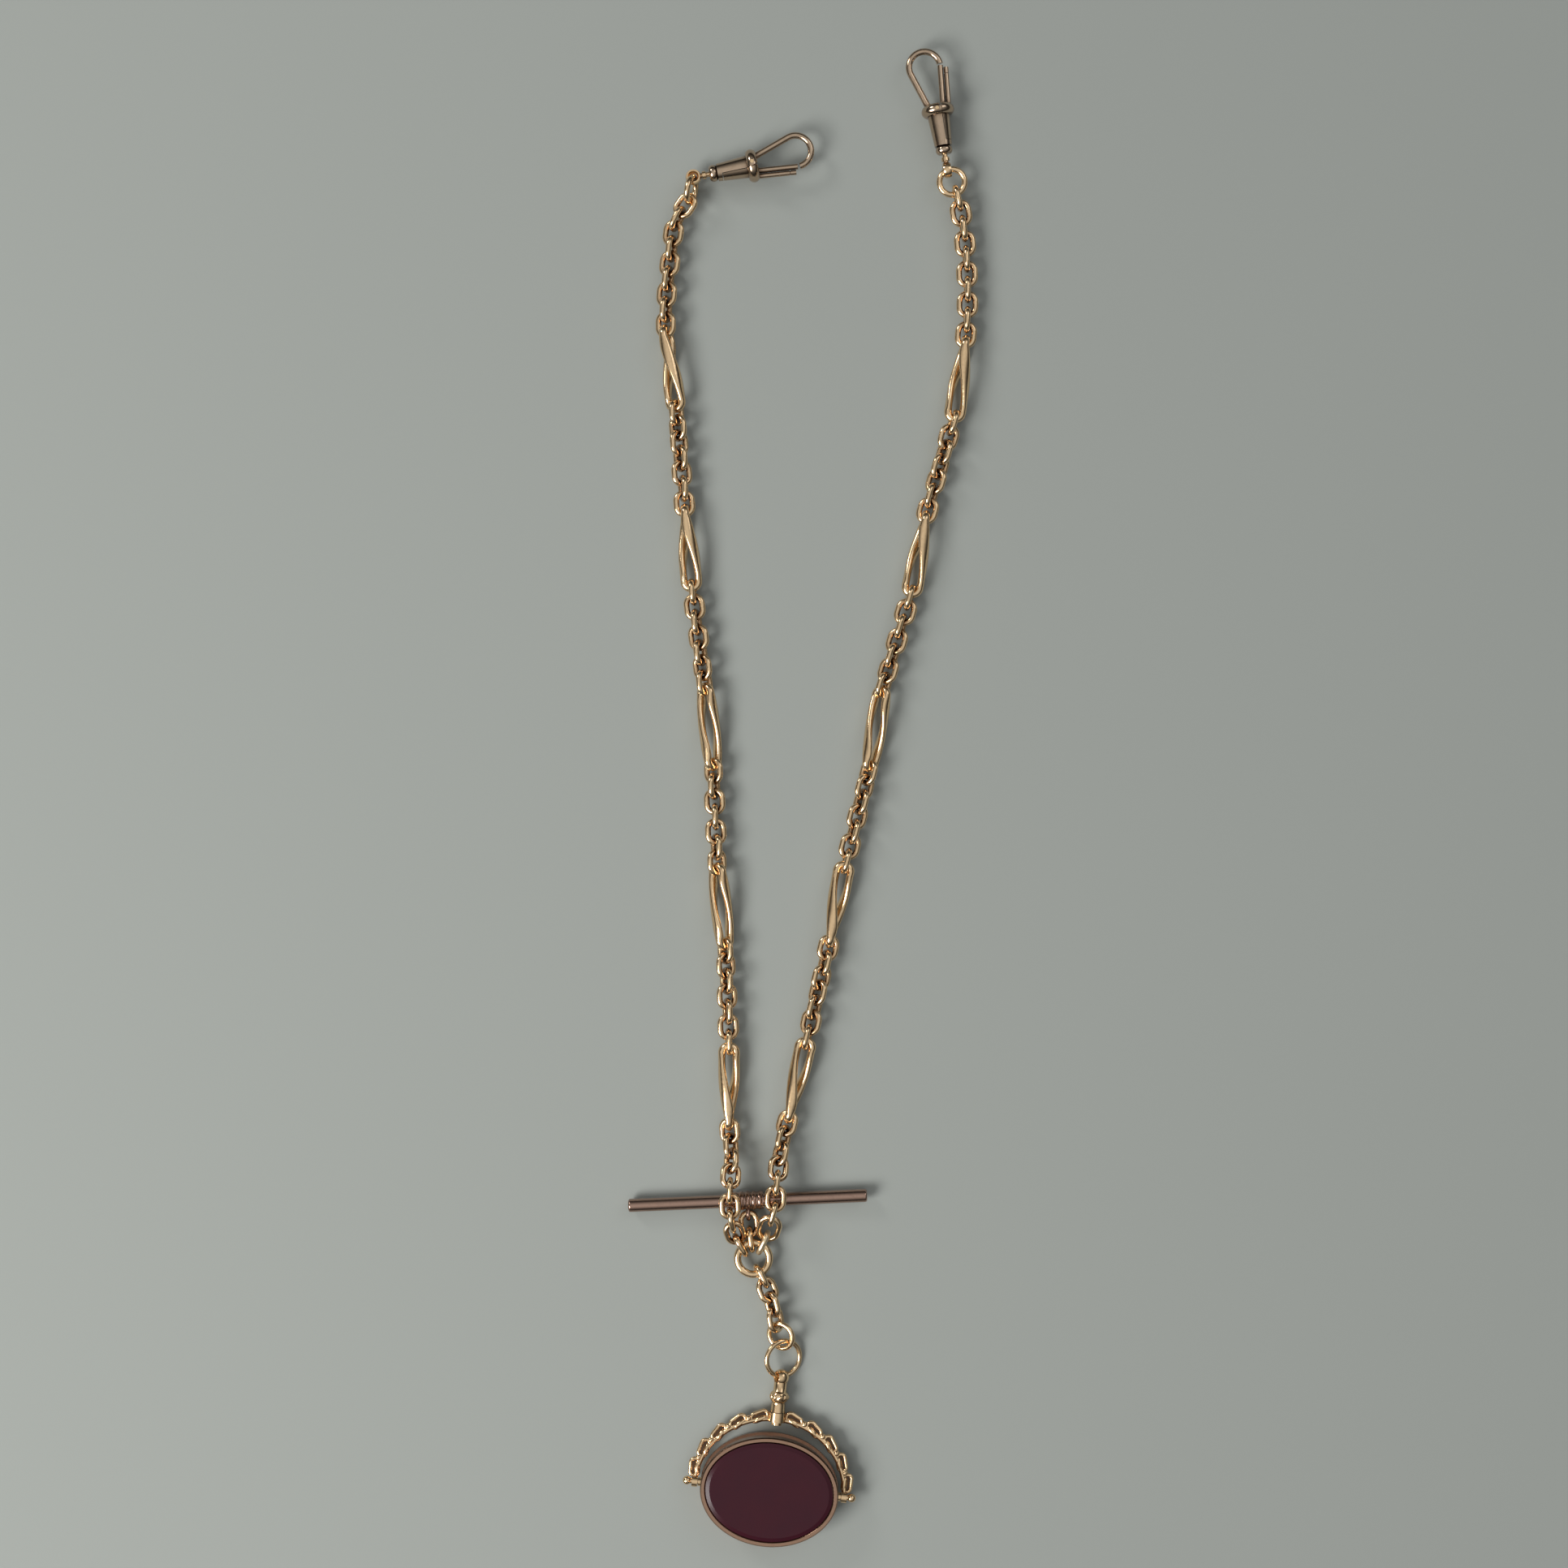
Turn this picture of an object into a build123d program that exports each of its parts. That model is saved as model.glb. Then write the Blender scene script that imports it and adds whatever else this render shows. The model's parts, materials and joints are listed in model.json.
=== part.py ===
"""Double watch chain: T-bar, two swivel clips and a swivel seal fob.

The chain lies on a table, Z up, with the table at Z = 0. Y runs along the chain, from the fob
to the clips. Two strands and two short chains hang from one centre ring, and each piece is
placed by walking from link to link, so every place follows from the sizes below.
"""

import os
from math import asin, atan2, cos, degrees, radians, sin, sqrt

from build123d import *

# Place of the centre ring, and the plane that the chain lies in
ring_x = -8.1
ring_y = -74.2

# Centre ring
centre_ring_width = 6.3
centre_ring_wire = 1.2

# Small links, and the gap left between two linked wires
small_link_length = 4.46
small_link_width = 3.5
small_link_wire = 0.95
link_gap = 0.12

# Long twisted links
long_link_length = 14.3
long_link_width = 3.5
long_link_wire = 1.2
long_link_depth = 1.9
long_link_tip_depth = 1.3
long_link_turn = -90

# Oval ring of the right strand
oval_ring_length = 5.2
oval_ring_width = 4.0
oval_ring_wire = 0.9

# Rings that hold the clips
clip_ring_width = 5.0
clip_ring_wire = 0.95

# Rings above the fob
drop_ring_width = 5.0
drop_ring_wire = 0.85
bow_ring_width = 6.6
bow_ring_wire = 0.8
ring_gap = 0.32

# T-bar
t_bar_length = 38.3
t_bar_radius = 1.05
t_bar_end_round = 0.35
t_bar_heading = 2.45
sleeve_length = 5.0
sleeve_radius = 1.4
sleeve_ridge = 0.13
sleeve_ridges = 5
sleeve_fit = 0.03
sleeve_eye_radius = 0.95
sleeve_eye_wire = 0.7

# Swivel clips
eye_hole_radius = 0.6
eye_ring_height = 0.66
eye_ring_width = 1.2
eye_shoulder_radius = 0.65
eye_shoulder_length = 0.55
eye_shoulder_gap = 0.2
swivel_pin_radius = 0.42
swivel_head_radius = 0.8
swivel_head_length = 0.5
swivel_fit = 0.05
neck_length = 1.34
tail_collar_radius = 1.35
tail_collar_length = 1.3
tail_edge_share = 0.75
barrel_length = 4.85
barrel_round_length = 0.72
barrel_front_radius = 1.8
barrel_back_radius = 1.4
collar_radius = 2.65
collar_length = 1.7
hook_loop_radius = 2.5
hook_reach = 7.22
hook_offset = 1.0
hook_arm_offset = 1.35
hook_wire_radius = 0.52
nose_gap = 0.35
gate_split = 0.5
gate_gap = 0.1
gate_lug_width = 1.0
gate_lug_radius = 0.75
gate_pin_offset = 0.25
gate_pin_radius = 0.3
gate_pin_fit = 0.04
gate_pin_share = 0.94
gate_bar_radius = 0.45
gate_bar_length = 7.1
thumb_bar_radius = 0.4
thumb_bar_length = 6.7
thumb_groove_radius = 0.32
thumb_groove_start = 5.65
thumb_groove_length = 0.15
thumb_spacing = 0.9
gate_travel = 22
gate_travel_margin = 3
gate_spring_wire = 0.13
gate_spring_radius = 0.48
gate_spring_pitch = 0.15
gate_spring_turns = 2.5
gate_spring_room = 0.6

# Seal fob
fob_width = 22.1
fob_height = 17.4
fob_thickness = 5.0
band_wall = 0.9
band_groove = 0.25
rim_width = 0.85
rim_height = 0.7
rim_chamfer = 0.2
stone_bevel = 0.6
stone_proud = 0.15
stone_fit = 0.04

# Bail of the fob
bail_side_gap = 0.5
bail_top_gap = 2.4
bail_wire = 0.8
scroll_length = 3.3
scroll_width = 1.9
scroll_wire = 0.6
scroll_shift = 0.5
scroll_slant = 14
scrolls_a_side = 5
scroll_first = 13
scroll_last = 79
knuckle_radius = 0.9
knuckle_length = 0.9
pivot_radius = 0.45
pivot_fit = 0.04
pivot_head_radius = 0.7
boss_radius = 1.4
boss_length = 1.5

# Finial of the bail
finial_shank_radius = 0.5
finial_fit = 0.05
finial_head_radius = 0.85
finial_head_length = 0.4
finial_neck_radius = 1.2
finial_neck_length = 1.55
finial_neck_taper = 0.9
finial_collar_radius = 1.62
finial_collar_length = 1.8
finial_collar_flank = 0.88
finial_collar_slope = 0.36
finial_bead_radius = 0.49
finial_beads = 9
finial_waist_radius = 1.05
finial_waist_length = 1.4
finial_knob_radius = 1.3
finial_knob_width = 1.7
finial_hole_radius = 0.66

# Eyes of the clips and the finial, as shares of their wall and width
eye_mouth_share = 0.4
eye_throat_share = 0.2

# Small margins
cut_overrun = 0.5
end_gap = 0.08


# Headings in degrees, counterclockwise from +X, in the order that a walk takes
left_lower_headings = (120, 107, 100, 92, 88, 86, 90, 94, 95)
left_long_headings = (90, 96.1, 96.1, 95.2, 97.8)
left_group_headings = (92.1, 92.2, 97.4, 94.9)
left_top_headings = (91, 88, 86, 84, 83, 84, 82, 64, 55)
left_ring_heading = 80
left_clip_heading = 11
right_lower_headings = (65, 74, 76, 86, 84, 83, 80, 77, 76)
right_long_headings = (76.7, 78.7, 81, 79.4, 81.8)
right_group_headings = (77, 75.9, 73.5, 74.1)
right_top_headings = (85, 87, 89, 91, 92, 94, 95, 98, 101, 105)
right_ring_heading = 113
right_clip_heading = 99
t_chain_headings = (98, 95)
drop_headings = (-62, -68, -76, -80)
drop_ring_heading = -65
bow_ring_heading = -96
fob_heading = -96.2

# Where each chain starts on the centre ring, in degrees
left_start = 141
t_chain_start = 98
right_start = 55
drop_start = -70

# Rolls of the loops about their own length: 0 lies flat and 90 stands on edge
left_long_rolls = (90, 45, 45, 0, -25)
right_long_rolls = (90, 90, 50, 0, 0)
left_ring_roll = 75
right_ring_roll = 0
left_eye_roll = 84.5
right_eye_roll = 0
drop_ring_roll = 30
bow_ring_roll = -25
lower_twists = (0, 0, 0, 0, 0, 18, 18, 18, 18, 18)

# Height of each contact over the T-bar, as shares of the hump, and of the clips' height
left_hump_shares = (0.22, 0.6, 0.96, 1, 1, 0.66, 0.28, 0.04, 0)
right_hump_shares = (0.22, 0.82, 1, 1, 0.74, 0.44, 0.18, 0.04, 0)
top_rise_shares = (0, 0, 0, 0, 0, 0, 0, 0.2, 0.45, 0.7)
links_in_group = 7

os.makedirs("parts", exist_ok=True)
pivots = {}


def save(part, name):
    """Labels one finished piece and writes it."""
    part.label = name
    export_step(part, f"parts/{name}.step")


def heading_vector(heading, climb=0.0):
    """Unit vector along a heading, climbing from the table."""
    level = cos(radians(climb))
    return Vector(level * cos(radians(heading)), level * sin(radians(heading)), sin(radians(climb)))


def loop_plane(point, heading, climb, roll):
    """Plane of a loop: X along it, Y across it, rolled about its own length."""
    along = heading_vector(heading, climb)
    across = heading_vector(heading + 90)
    upward = along.cross(across)
    normal = upward * cos(radians(roll)) - across * sin(radians(roll))
    return Plane(origin=point, x_dir=along, z_dir=normal)


class Walk:
    """Goes from contact to contact along a chain and keeps the last piece's pose."""

    def __init__(self, contact, heading, roll, gap):
        self.contact = contact
        self.heading = heading
        self.roll = roll
        self.gap = gap

    def step(self, opening, heading, roll, height, gap=link_gap):
        """Places a loop with this inner length, whose far contact lies at this height."""
        reach = opening - self.gap / 2 - gap / 2
        climb = degrees(asin((height - self.contact.Z) / reach))
        along = heading_vector(heading, climb)
        middle = self.contact + along * (opening / 2 - self.gap / 2)
        self.contact = self.contact + along * reach
        self.heading, self.roll, self.gap = heading, roll, gap
        return loop_plane(middle, heading, climb, roll)

    def far_wire(self, wire):
        """Middle of the last piece's far wire."""
        return self.contact + heading_vector(self.heading) * (wire / 2 + self.gap / 2)

    def pivot(self, name, wire, next_wire, next_roll):
        """Keeps the place of a joint, on the wire that stands the more upright."""
        lean = sin(radians(self.roll)) ** 2 - sin(radians(next_roll)) ** 2
        shift = (wire if lean > 0 else next_wire) / 2 + self.gap / 2
        pivots[name] = self.contact + heading_vector(self.heading) * shift * lean


def rod(start, end, radius):
    """One straight round bar from point to point."""
    with BuildPart(Plane(origin=start, z_dir=end - start)) as bar:
        Cylinder(radius, (end - start).length, align=(Align.CENTER, Align.CENTER, Align.MIN))
    return bar.part


def flared_eye(plane, hole, outside, width):
    """One ball around a plane's Y axis, with a hole that widens to both sides."""
    mouth = hole + (outside - hole) * eye_mouth_share
    throat = width * eye_throat_share
    rim = sqrt(outside**2 - (width / 2) ** 2)
    with BuildPart() as eye:
        with BuildSketch(plane):
            with BuildLine():
                Polyline(
                    (rim, width / 2),
                    (mouth, width / 2),
                    (hole, throat),
                    (hole, -throat),
                    (mouth, -width / 2),
                    (rim, -width / 2),
                )
                ThreePointArc((rim, -width / 2), (outside, 0), (rim, width / 2))
            make_face()
        revolve(axis=Axis(plane.origin, plane.y_dir))
    return eye.part


def oval_wire_loop(length, width, wire):
    """One wire loop with straight sides and round ends, lying flat along X."""
    bend = (width - wire) / 2
    straight = (length - width) / 2
    with BuildPart() as loop:
        with BuildLine():
            Line((-straight, bend), (straight, bend))
            ThreePointArc((straight, bend), (straight + bend, 0), (straight, -bend))
            Line((straight, -bend), (-straight, -bend))
            ThreePointArc((-straight, -bend), (-straight - bend, 0), (-straight, bend))
        with BuildSketch(Plane(origin=(0, bend, 0), z_dir=(1, 0, 0))):
            Circle(wire / 2)
        sweep()
    return loop.part


def round_ring(width, wire):
    """One round ring, lying flat."""
    with BuildPart() as ring:
        Torus((width - wire) / 2, wire / 2)
    return ring.part


def twisted_long_link():
    """One long loop whose two hollow strands turn about each other by a quarter turn."""
    bend = (long_link_width - long_link_wire) / 2
    straight = long_link_length / 2 - long_link_width / 2
    stations = 5
    with BuildPart() as link:
        for side in (0, 180):
            for i in range(stations):
                share = i / (stations - 1)
                turn = radians(long_link_turn * share**2 * (3 - 2 * share) + side)
                full = 1 - (2 * share - 1) ** 4
                depth = long_link_tip_depth + (long_link_depth - long_link_tip_depth) * full
                x = straight * (2 * share - 1)
                middle = (x, bend * cos(turn), bend * sin(turn))
                with BuildSketch(Plane(origin=middle, x_dir=(0, cos(turn), sin(turn)), z_dir=(1, 0, 0))):
                    Ellipse(long_link_wire / 2, depth / 2)
            loft()
        for end, roll in ((-1, 0), (1, long_link_turn)):
            across = Vector(0, cos(radians(roll)), sin(radians(roll)))
            axle = Vector(0, -sin(radians(roll)), cos(radians(roll)))
            root = Vector(end * straight, 0, 0)
            with BuildSketch(Plane(origin=root + across * bend, x_dir=across, z_dir=(1, 0, 0))):
                Ellipse(long_link_wire / 2, long_link_tip_depth / 2)
            revolve(axis=Axis(root, axle * -end), revolution_arc=180)
    return link.part


def place_links(name, shape, planes):
    """Writes one node with a copy of a link at each place."""
    with BuildPart() as group:
        with Locations(*planes):
            add(shape)
    save(group.part, name)


small_link = oval_wire_loop(small_link_length, small_link_width, small_link_wire)
long_link = twisted_long_link()
small_opening = small_link_length - 2 * small_link_wire
long_opening = long_link_length - 2 * long_link_wire

# Heights that the chain lies at
chain_height = small_link_width / 2
t_bar_height = sleeve_radius + sleeve_ridge
t_bar_top = t_bar_height + t_bar_radius
hump_height = t_bar_top + small_link_width / 2 + link_gap
clip_height = collar_radius

# Centre ring
ring_centre = Vector(ring_x, ring_y, chain_height)
with BuildPart() as centre_ring:
    with Locations(ring_centre):
        add(round_ring(centre_ring_width, centre_ring_wire))
save(centre_ring.part, "centre_ring")


def start_walk(angle):
    """Starts a chain inside the centre ring's wire."""
    inside = centre_ring_width / 2 - centre_ring_wire - link_gap / 2
    return Walk(ring_centre + heading_vector(angle) * inside, angle, 0, link_gap)


def lay_long_and_groups(walk, side, long_headings, group_headings, long_rolls):
    """Lays five long links with a group of small links between each two."""
    for i, (heading, roll) in enumerate(zip(long_headings, long_rolls)):
        number = 5 - i
        walk.pivot(f"{side}_long_link_{number}_hinge", small_link_wire, long_link_wire, roll)
        place = walk.step(long_opening, heading, roll, chain_height)
        place_links(f"{side}_long_link_{number}", long_link, [place])
        walk.roll = roll + long_link_turn
        if i < len(group_headings):
            crossings = links_in_group + 1
            turn = long_rolls[i + 1] - walk.roll - crossings * 90
            twist = ((turn + 90) % 180 - 90) / crossings
            name = f"{side}_links_{number}_to_{number - 1}"
            walk.pivot(f"{name}_hinge", long_link_wire, small_link_wire, walk.roll + 90)
            places = []
            for _ in range(links_in_group):
                next_roll = walk.roll + 90 + twist
                places.append(walk.step(small_opening, group_headings[i], next_roll, chain_height))
            place_links(name, small_link, places)


def lay_top_links(walk, side, headings, ring_heading, ring_roll):
    """Lays the last small links and the ring that holds the clip."""
    crossings = len(headings) + 1
    twist = ((ring_roll - walk.roll - crossings * 90 + 90) % 180 - 90) / crossings
    walk.pivot(f"{side}_top_links_hinge", long_link_wire, small_link_wire, walk.roll + 90)
    places = []
    for heading, share in zip(headings, top_rise_shares[-len(headings):]):
        height = chain_height + share * (clip_height - chain_height)
        places.append(walk.step(small_opening, heading, walk.roll + 90 + twist, height))
    place_links(f"{side}_top_links", small_link, places)
    walk.pivot(f"{side}_clip_ring_hinge", small_link_wire, clip_ring_wire, ring_roll)
    opening = clip_ring_width - 2 * clip_ring_wire
    place = walk.step(opening, ring_heading, ring_roll, clip_height)
    place_links(f"{side}_clip_ring", round_ring(clip_ring_width, clip_ring_wire), [place])


# Left strand, from the centre ring over the T-bar to its clip ring
left = start_walk(left_start)
left.pivot("left_lower_links_hinge", centre_ring_wire, small_link_wire, 90)
left_places = []
for heading, share, twist in zip(left_lower_headings, left_hump_shares, lower_twists):
    height = chain_height + share * (hump_height - chain_height)
    left_places.append(left.step(small_opening, heading, left.roll + 90 + twist, height))
place_links("left_lower_links", small_link, left_places)
lay_long_and_groups(left, "left", left_long_headings, left_group_headings, left_long_rolls)
lay_top_links(left, "left", left_top_headings, left_ring_heading, left_ring_roll)

# Right strand, which has one oval ring after its first link
right = start_walk(right_start)
right_places = []
for i, heading in enumerate(right_lower_headings):
    height = chain_height + right_hump_shares[i] * (hump_height - chain_height)
    roll = right.roll + 90 + lower_twists[i]
    if i == 0:
        right.pivot("right_first_link_hinge", centre_ring_wire, small_link_wire, roll)
        place_links("right_first_link", small_link, [right.step(small_opening, heading, roll, height)])
    elif i == 1:
        right.pivot("right_oval_ring_hinge", small_link_wire, oval_ring_wire, roll)
        oval_ring = oval_wire_loop(oval_ring_length, oval_ring_width, oval_ring_wire)
        opening = oval_ring_length - 2 * oval_ring_wire
        place_links("right_oval_ring", oval_ring, [right.step(opening, heading, roll, height)])
    else:
        if i == 2:
            right.pivot("right_lower_links_hinge", oval_ring_wire, small_link_wire, roll)
        right_places.append(right.step(small_opening, heading, roll, height))
place_links("right_lower_links", small_link, right_places)
lay_long_and_groups(right, "right", right_long_headings, right_group_headings, right_long_rolls)
lay_top_links(right, "right", right_top_headings, right_ring_heading, right_ring_roll)

# Short chain of the T-bar
t_chain = start_walk(t_chain_start)
pivots["t_bar_links_hinge"] = t_chain.far_wire(centre_ring_wire)
t_chain_heights = (chain_height + (t_bar_height - chain_height) / 2, t_bar_height)
t_chain_places = []
for heading, height in zip(t_chain_headings, t_chain_heights):
    t_chain_places.append(t_chain.step(small_opening, heading, t_chain.roll + 90, height))
place_links("t_bar_links", small_link, t_chain_places)
pivots["t_bar_sleeve_hinge"] = t_chain.far_wire(small_link_wire)

# T-bar: a round bar in a ridged sleeve with an eye
eye_out = heading_vector(t_bar_heading + 90)
eye_contact = t_chain.contact - eye_out * (link_gap / 2)
eye_offset = sleeve_radius + sleeve_eye_radius - sleeve_eye_wire / 2
bar_centre = eye_contact + eye_out * (eye_offset + sleeve_eye_radius - sleeve_eye_wire / 2)
bar_plane = Plane(origin=bar_centre, x_dir=eye_out, z_dir=heading_vector(t_bar_heading))
with BuildPart(bar_plane) as t_bar:
    Cylinder(t_bar_radius, t_bar_length)
    fillet(t_bar.edges().filter_by(GeomType.CIRCLE), t_bar_end_round)
save(t_bar.part, "t_bar")
with BuildPart(bar_plane) as t_bar_sleeve:
    Cylinder(sleeve_radius, sleeve_length)
    ridge_pitch = sleeve_length / sleeve_ridges
    for i in range(sleeve_ridges):
        with Locations((0, 0, (i + 0.5) * ridge_pitch - sleeve_length / 2)):
            Torus(sleeve_radius - ridge_pitch / 2 + sleeve_ridge, ridge_pitch / 2)
    with Locations((-eye_offset, 0, 0)):
        Torus(sleeve_eye_radius, sleeve_eye_wire / 2)
    Cylinder(t_bar_radius + sleeve_fit, sleeve_length + cut_overrun, mode=Mode.SUBTRACT)
save(t_bar_sleeve.part, "t_bar_sleeve")

# Bail and finial stations, measured from the axis that the seal turns on
bail_half_width = fob_width / 2 + bail_side_gap + knuckle_length / 2
bail_rise = fob_height / 2 + bail_top_gap
boss_bottom = bail_rise - bail_wire / 2
boss_top = boss_bottom + boss_length
head_top = boss_bottom - end_gap
neck_bottom = boss_top + end_gap
collar_bottom = neck_bottom + finial_neck_length
waist_bottom = collar_bottom + finial_collar_length
waist_top = waist_bottom + finial_waist_length
knob_centre = waist_top + finial_knob_radius - finial_waist_radius / 2
finial_reach = knob_centre + finial_hole_radius
collar_middle = collar_bottom + finial_collar_length / 2
droop = degrees(asin((fob_thickness / 2 - finial_collar_radius) / collar_middle))

# Short chain of the fob, its two rings and the place of the fob
drop = start_walk(drop_start)
drop.pivot("drop_links_hinge", centre_ring_wire, small_link_wire, 90)
drop_crossings = len(drop_headings) + 1
drop_twist = ((drop_ring_roll - drop_crossings * 90 + 90) % 180 - 90) / drop_crossings
drop_places = []
for heading in drop_headings:
    drop_places.append(drop.step(small_opening, heading, drop.roll + 90 + drop_twist, chain_height))
place_links("drop_links", small_link, drop_places)
drop.pivot("drop_ring_hinge", small_link_wire, drop_ring_wire, drop_ring_roll)
drop_opening = drop_ring_width - 2 * drop_ring_wire
drop_place = drop.step(drop_opening, drop_ring_heading, drop_ring_roll, chain_height, ring_gap)
place_links("drop_ring", round_ring(drop_ring_width, drop_ring_wire), [drop_place])
drop.pivot("bow_ring_hinge", drop_ring_wire, bow_ring_wire, bow_ring_roll)
finial_height = fob_thickness / 2 - (finial_reach - link_gap / 2) * sin(radians(droop))
bow_opening = bow_ring_width - 2 * bow_ring_wire
bow_place = drop.step(bow_opening, bow_ring_heading, bow_ring_roll, finial_height)
place_links("bow_ring", round_ring(bow_ring_width, bow_ring_wire), [bow_place])

to_pivot = heading_vector(fob_heading, droop)
fob_centre = drop.contact + to_pivot * (finial_reach - link_gap / 2)
fob_across = heading_vector(fob_heading + 90)
fob_plane = Plane(origin=fob_centre, x_dir=fob_across, z_dir=(0, 0, 1))
bail_plane = Plane(origin=fob_centre, x_dir=fob_across, z_dir=fob_across.cross(-to_pivot))
fob_axis = Axis(fob_centre, fob_across)
bail_axis = Axis(fob_centre, bail_plane.y_dir)
finial_hole_plane = loop_plane(fob_centre - to_pivot * knob_centre, fob_heading, droop, bow_ring_roll)
pivots["finial_hinge"] = finial_hole_plane.origin
pivots["bail_swivel"] = fob_centre - to_pivot * boss_bottom
pivots["seal_spin"] = fob_centre

# Finial: turned in one piece, with a pierced knob, a beaded collar and a riveted shank
neck_top_radius = finial_neck_radius * finial_neck_taper
flank_radius = finial_collar_radius * finial_collar_flank
with BuildPart() as turning:
    with BuildSketch(bail_plane):
        with BuildLine():
            Polyline(
                (0, head_top - finial_head_length),
                (finial_head_radius, head_top - finial_head_length),
                (finial_head_radius, head_top),
                (finial_shank_radius, head_top),
                (finial_shank_radius, neck_bottom),
                (finial_neck_radius, neck_bottom),
                (neck_top_radius, collar_bottom),
                (flank_radius, collar_bottom + finial_collar_slope),
                (flank_radius, waist_bottom - finial_collar_slope),
                (finial_waist_radius, waist_bottom),
                (finial_waist_radius, waist_top),
                (0, waist_top),
                close=True,
            )
        make_face()
    revolve(axis=bail_axis)
with BuildPart() as finial:
    add(turning.part)
    with Locations(bail_plane.location * Location((0, collar_middle, 0), (-90, 0, 0))):
        with PolarLocations(finial_collar_radius - finial_bead_radius, finial_beads):
            Sphere(finial_bead_radius)
    add(flared_eye(finial_hole_plane, finial_hole_radius, finial_knob_radius, finial_knob_width))
save(finial.part, "finial")

# Bail: a cast arch of slanted scroll loops outside a thin wire, with a boss and two knuckles
scroll = oval_wire_loop(scroll_length, scroll_width, scroll_wire)
with BuildPart() as bail:
    with BuildLine(bail_plane):
        EllipticalCenterArc((0, 0), bail_half_width, bail_rise, start_angle=0, arc_size=180)
    bail_foot = bail_plane.from_local_coords((bail_half_width, 0))
    with BuildSketch(Plane(origin=bail_foot, z_dir=bail_plane.y_dir)):
        Circle(bail_wire / 2)
    sweep()
    for side in (-1, 1):
        for i in range(scrolls_a_side):
            turn = scroll_first + (scroll_last - scroll_first) * i / (scrolls_a_side - 1)
            around = radians(90 + side * turn)
            slope = atan2(bail_rise * cos(around), -bail_half_width * sin(around))
            x = bail_half_width * cos(around) + scroll_shift * sin(slope)
            y = bail_rise * sin(around) - scroll_shift * cos(slope)
            tilt = degrees(slope) + side * scroll_slant
            with Locations(bail_plane.location * Location((x, y, 0), (0, 0, tilt))):
                add(scroll)
    with Locations(bail_plane.location * Location((0, (boss_bottom + boss_top) / 2, 0), (90, 0, 0))):
        Cylinder(boss_radius, boss_length)
        Cylinder(finial_shank_radius + finial_fit, boss_length * 2, mode=Mode.SUBTRACT)
    for side in (-1, 1):
        with Locations(bail_plane.location * Location((side * bail_half_width, 0, 0), (0, 90, 0))):
            Cylinder(knuckle_radius, knuckle_length)
            Cylinder(pivot_radius + pivot_fit, knuckle_length + bail_wire, mode=Mode.SUBTRACT)
save(bail.part, "bail")

# Seal: an oval band between two rims, each holding a bevelled stone on the bedding between them
rim_top = fob_thickness / 2 - stone_proud
band_top = rim_top - rim_height
stone_half_width = fob_width / 2 - rim_width
stone_half_height = fob_height / 2 - rim_width
with BuildPart() as seal_band:
    with BuildSketch(fob_plane.offset(-band_top)):
        Ellipse(fob_width / 2 - band_groove, fob_height / 2 - band_groove)
        Ellipse(
            fob_width / 2 - band_groove - band_wall,
            fob_height / 2 - band_groove - band_wall,
            mode=Mode.SUBTRACT,
        )
    extrude(amount=2 * band_top)
    with Locations(fob_plane.location * Location((0, 0, 0), (0, 90, 0))):
        Cylinder(pivot_radius + stone_fit, fob_width + cut_overrun, mode=Mode.SUBTRACT)
save(seal_band.part, "seal_band")

with BuildPart() as setting_bed:
    with BuildSketch(fob_plane.offset(stone_fit - band_top)):
        Ellipse(
            fob_width / 2 - band_groove - band_wall - stone_fit,
            fob_height / 2 - band_groove - band_wall - stone_fit,
        )
    extrude(amount=2 * (band_top - stone_fit))
save(setting_bed.part, "setting_bed")

for name, side in (("front", 1), ("back", -1)):
    with BuildPart() as rim:
        with BuildSketch(fob_plane.offset(side * band_top)):
            Ellipse(fob_width / 2, fob_height / 2)
            Ellipse(stone_half_width, stone_half_height, mode=Mode.SUBTRACT)
        extrude(amount=side * rim_height)
        rim_faces = rim.faces().filter_by(Axis.Z).sort_by(Axis.Z)
        outer_face = rim_faces[-1] if side > 0 else rim_faces[0]
        chamfer(outer_face.edges(), rim_chamfer)
    save(rim.part, f"{name}_rim")
    with BuildPart() as stone:
        with BuildSketch(fob_plane.offset(side * band_top)):
            Ellipse(stone_half_width - stone_fit, stone_half_height - stone_fit)
        extrude(amount=side * (rim_height + stone_proud))
        stone_faces = stone.faces().filter_by(Axis.Z).sort_by(Axis.Z)
        outer_face = stone_faces[-1] if side > 0 else stone_faces[0]
        chamfer(outer_face.edges(), stone_proud + stone_fit, stone_bevel)
    save(stone.part, f"{name}_stone")

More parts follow.
